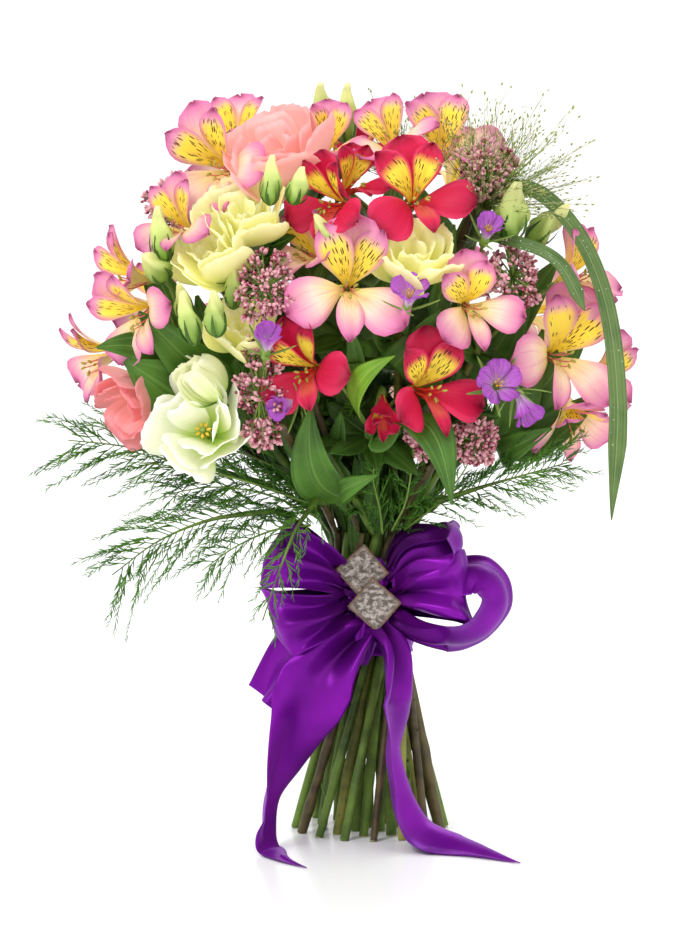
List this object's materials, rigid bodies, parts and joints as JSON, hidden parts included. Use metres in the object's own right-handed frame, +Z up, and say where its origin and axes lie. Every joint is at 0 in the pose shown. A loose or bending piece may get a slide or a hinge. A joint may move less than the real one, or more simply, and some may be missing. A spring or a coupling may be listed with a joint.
{
  "type": "mixed flower bouquet",
  "caption": "Hand-tied bouquet of mixed cut flowers with a wide satin bow, standing on its spiral of cut stems; for display.",
  "frame": {"origin": "on the surface the bouquet stands on, at the centre stem's cut end, on the axis of the stem spiral", "axes": "+Z up along the stems, -Y towards the bow and the viewer, +X to the right as seen from the bow's side"},
  "size_m": [0.3703, 0.2582, 0.4809],
  "materials": {
    "ribbon_satin": "satin sheen",
    "birch_bark": "matt, mottled",
    "pink_petal": "soft, slightly translucent",
    "green_stem": "satin",
    "crimson_petal": "soft, slightly translucent",
    "cream_petal": "soft, slightly translucent",
    "white_petal": "soft, slightly translucent",
    "salmon_petal": "soft, slightly translucent",
    "coral_petal": "soft, slightly translucent",
    "violet_petal": "soft, slightly translucent",
    "rice_bud": "matt, tiny buds",
    "fern_green": "satin",
    "strap_green": "satin, with water droplets",
    "grass_green": "satin"
  },
  "bodies": {
    "root": {"ribbon_band_and_knot": "ribbon_satin", "bark_square_upper": "birch_bark", "bark_square_lower": "birch_bark", "ribbon_tails": "ribbon_satin", "ribbon_loops_left": "ribbon_satin", "ribbon_loops_right": "ribbon_satin", "pink_alstroemeria_centre_umbel": "pink_petal", "pink_alstroemeria_centre_stem": "green_stem", "pink_alstroemeria_left_umbel": "pink_petal", "pink_alstroemeria_left_stem": "green_stem", "pink_alstroemeria_upper_left_umbel": "pink_petal", "pink_alstroemeria_upper_left_stem": "green_stem", "pink_alstroemeria_top_umbel": "pink_petal", "pink_alstroemeria_top_stem": "green_stem", "pink_alstroemeria_right_centre_umbel": "pink_petal", "pink_alstroemeria_right_centre_stem": "green_stem", "pink_alstroemeria_right_umbel": "pink_petal", "pink_alstroemeria_right_stem": "green_stem", "pink_alstroemeria_back_left_umbel": "pink_petal", "pink_alstroemeria_back_left_stem": "green_stem", "pink_alstroemeria_back_right_umbel": "pink_petal", "pink_alstroemeria_back_right_stem": "green_stem", "crimson_alstroemeria_top_umbel": "crimson_petal", "crimson_alstroemeria_top_stem": "green_stem", "crimson_alstroemeria_front_umbel": "crimson_petal", "crimson_alstroemeria_front_stem": "green_stem", "crimson_alstroemeria_back_umbel": "crimson_petal", "crimson_alstroemeria_back_stem": "green_stem", "lisianthus_cream_upper": "cream_petal", "lisianthus_cream_left": "cream_petal", "lisianthus_spray_upper_left_green": "green_stem", "lisianthus_cream_right": "cream_petal", "lisianthus_spray_right_green": "green_stem", "lisianthus_cream_centre_left": "cream_petal", "lisianthus_half_open": "white_petal", "lisianthus_white_open": "white_petal", "lisianthus_spray_left_green": "green_stem", "lisianthus_salmon_top": "salmon_petal", "lisianthus_stem_top_green": "green_stem", "lisianthus_coral_lower_left": "coral_petal", "lisianthus_stem_lower_left_green": "green_stem", "lisianthus_salmon_back": "salmon_petal", "lisianthus_stem_back_green": "green_stem", "corncockle_right": "violet_petal", "corncockle_upper_right": "violet_petal", "corncockle_left": "violet_petal", "rice_flower_centre_left": "rice_bud", "rice_flower_low_left": "rice_bud", "rice_flower_right": "rice_bud", "rice_flower_upper_left": "rice_bud", "rice_flower_upper_right": "rice_bud", "rice_flower_low_right": "rice_bud", "rice_flower_back": "rice_bud", "fern_frond_left_upper": "fern_green", "fern_frond_left_lower": "fern_green", "fern_frond_over_bow": "fern_green", "fern_frond_right": "fern_green", "strap_leaves": "strap_green", "panic_grass_upper_right": "grass_green", "panic_grass_back": "grass_green"}
  },
  "joints": []
}
